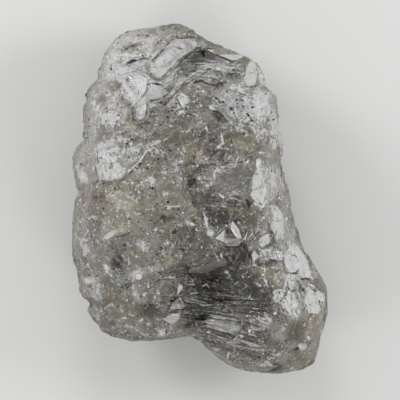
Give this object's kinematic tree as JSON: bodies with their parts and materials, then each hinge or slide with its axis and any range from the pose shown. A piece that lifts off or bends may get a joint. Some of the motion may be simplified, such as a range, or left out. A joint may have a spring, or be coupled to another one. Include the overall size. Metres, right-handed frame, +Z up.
{
  "type": "rough diamond",
  "caption": "Uncut grey rough diamond of irregular rounded shape, with cleavage flakes, step laminations and a flat face to rest on.",
  "frame": {"origin": "under the middle of the stone's bounding box, on the surface that its flat underside rests on", "axes": "+Z up, away from the rest face; +Y along the stone's length, towards the end with the smooth light dome; +X towards the flank that swells out into the lower right lobe"},
  "size_m": [0.0052, 0.007, 0.0033],
  "materials": {
    "diamond": "natural frosted crystal surface, included grey-olive core, clearer towards the rim"
  },
  "bodies": {
    "root": {"rough_diamond": "diamond"}
  },
  "joints": []
}
